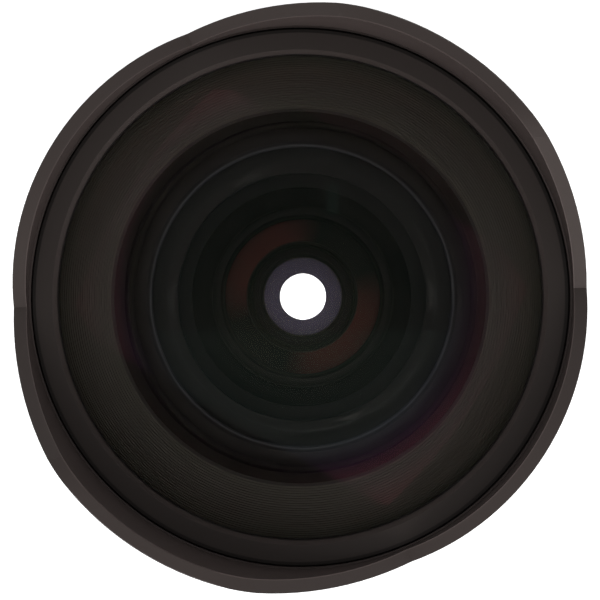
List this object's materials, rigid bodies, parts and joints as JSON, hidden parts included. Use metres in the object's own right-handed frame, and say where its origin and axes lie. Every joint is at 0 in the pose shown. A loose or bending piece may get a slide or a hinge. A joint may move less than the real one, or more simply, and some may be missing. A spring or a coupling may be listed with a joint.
{
  "type": "cine lens",
  "caption": "Ultra-wide prime cine lens with a fixed petal hood, geared focus and iris rings, a moving iris, glass elements and a bayonet mount.",
  "frame": {"origin": "centre of the bayonet flange's rear seating face, on the optical axis", "axes": "+Z along the optical axis towards the front glass; +Y and -Y point at the two long petals of the hood, +X and -X at the two short ones; the mount's white index dot is on the -Y side"},
  "size_m": [0.087, 0.087, 0.1025],
  "materials": {
    "mount_chrome": "satin chrome-plated brass",
    "screw_steel": "bright slotted screws",
    "shim_brass": "rolled shim",
    "black_moulded": "matt moulded",
    "screw_black": "blackened",
    "black_anodised": "fine bead-blasted black anodised",
    "index_white": "white enamel",
    "sleeve_brass": "turned",
    "roller_steel": "ground",
    "hood_black": "satin black anodised",
    "front_ring_black": "satin black anodised",
    "cell_black": "flat black anodised",
    "baffle_grey": "finely ribbed, dull black",
    "retainer_black": "turned black anodised",
    "shade_brown": "dark brown anodised",
    "iris_plate": "dark anodised",
    "blade_black": "dry-film black on spring steel",
    "coated_glass": "polished, multi-coated"
  },
  "bodies": {
    "root": {"bayonet_mount": "mount_chrome", "mount_screws": "screw_steel", "mount_shim": "shim_brass", "rear_light_baffle": "black_moulded", "rear_baffle_screws": "screw_black", "rear_barrel": "black_anodised", "rear_barrel_screws": "screw_black", "mount_index_dot": "index_white", "main_barrel": "black_anodised", "index_band": "black_anodised", "front_barrel": "black_anodised", "petal_hood": "hood_black", "hood_screws": "screw_black", "front_retaining_ring": "front_ring_black", "front_lens_cell": "cell_black", "ribbed_baffle": "baffle_grey", "front_element": "coated_glass", "second_element": "coated_glass", "second_element_retainer": "retainer_black", "third_element": "coated_glass", "third_element_retainer": "retainer_black", "third_element_shade_ring": "shade_brown"},
    "focus_ring": {"focus_ring": "black_anodised", "focus_cam_sleeve": "sleeve_brass"},
    "iris_ring": {"iris_ring": "black_anodised"},
    "focus_carriage": {"focus_carriage": "black_anodised", "carriage_rollers": "roller_steel", "middle_lens_cell": "cell_black", "middle_cell_screws": "screw_black", "fourth_element": "coated_glass", "fifth_element": "coated_glass", "middle_spacer": "retainer_black", "sixth_element": "coated_glass", "middle_group_retainer": "retainer_black", "iris_housing": "iris_plate", "iris_housing_screws": "screw_black", "iris_retaining_ring": "retainer_black", "rear_lens_cell": "cell_black", "seventh_element": "coated_glass", "eighth_element": "coated_glass", "rear_front_spacer": "retainer_black", "ninth_element": "coated_glass", "rear_back_spacer": "retainer_black", "tenth_element": "coated_glass", "rear_retaining_ring": "retainer_black"},
    "iris_cam": {"iris_cam_ring": "cell_black", "iris_drive_pin": "roller_steel"},
    "blade_1": {"iris_blade_1": "blade_black"},
    "blade_2": {"iris_blade_2": "blade_black"},
    "blade_3": {"iris_blade_3": "blade_black"},
    "blade_4": {"iris_blade_4": "blade_black"},
    "blade_5": {"iris_blade_5": "blade_black"},
    "blade_6": {"iris_blade_6": "blade_black"}
  },
  "joints": [
    {"name": "focus_turn", "type": "hinge", "parent": "root", "child": "focus_ring", "pos_m": [0, 0, 0.05], "axis": [0, 0, 1], "range_deg": [0, 110]},
    {"name": "focus_travel", "type": "slide", "parent": "root", "child": "focus_carriage", "axis": [0, 0, 1], "range_m": [0, 0.003]},
    {"name": "iris_turn", "type": "hinge", "parent": "root", "child": "iris_ring", "pos_m": [0, 0, 0.023], "axis": [0, 0, 1], "range_deg": [0, 50]},
    {"name": "iris_cam_turn", "type": "hinge", "parent": "focus_carriage", "child": "iris_cam", "pos_m": [0, 0, 0.032], "axis": [0, 0, 1], "range_deg": [0, 50]},
    {"name": "blade_1_swing", "type": "hinge", "parent": "focus_carriage", "child": "blade_1", "pos_m": [0.0117, 0, 0.034], "axis": [0, 0, 1], "range_deg": [0, 26]},
    {"name": "blade_2_swing", "type": "hinge", "parent": "focus_carriage", "child": "blade_2", "pos_m": [0.00585, 0.01013, 0.034], "axis": [0, 0, 1], "range_deg": [0, 26]},
    {"name": "blade_3_swing", "type": "hinge", "parent": "focus_carriage", "child": "blade_3", "pos_m": [-0.00585, 0.01013, 0.034], "axis": [0, 0, 1], "range_deg": [0, 26]},
    {"name": "blade_4_swing", "type": "hinge", "parent": "focus_carriage", "child": "blade_4", "pos_m": [-0.0117, 0, 0.034], "axis": [0, 0, 1], "range_deg": [0, 26]},
    {"name": "blade_5_swing", "type": "hinge", "parent": "focus_carriage", "child": "blade_5", "pos_m": [-0.00585, -0.01013, 0.034], "axis": [0, 0, 1], "range_deg": [0, 26]},
    {"name": "blade_6_swing", "type": "hinge", "parent": "focus_carriage", "child": "blade_6", "pos_m": [0.00585, -0.01013, 0.034], "axis": [0, 0, 1], "range_deg": [0, 26]}
  ],
  "couplings": [
    {"joint": "focus_travel", "follows": "focus_turn", "m_per_rad": 0.0015626},
    {"joint": "iris_cam_turn", "follows": "iris_turn", "ratio": 1},
    {"joint": "blade_1_swing", "follows": "iris_turn", "ratio": 0.52},
    {"joint": "blade_2_swing", "follows": "iris_turn", "ratio": 0.52},
    {"joint": "blade_3_swing", "follows": "iris_turn", "ratio": 0.52},
    {"joint": "blade_4_swing", "follows": "iris_turn", "ratio": 0.52},
    {"joint": "blade_5_swing", "follows": "iris_turn", "ratio": 0.52},
    {"joint": "blade_6_swing", "follows": "iris_turn", "ratio": 0.52}
  ]
}
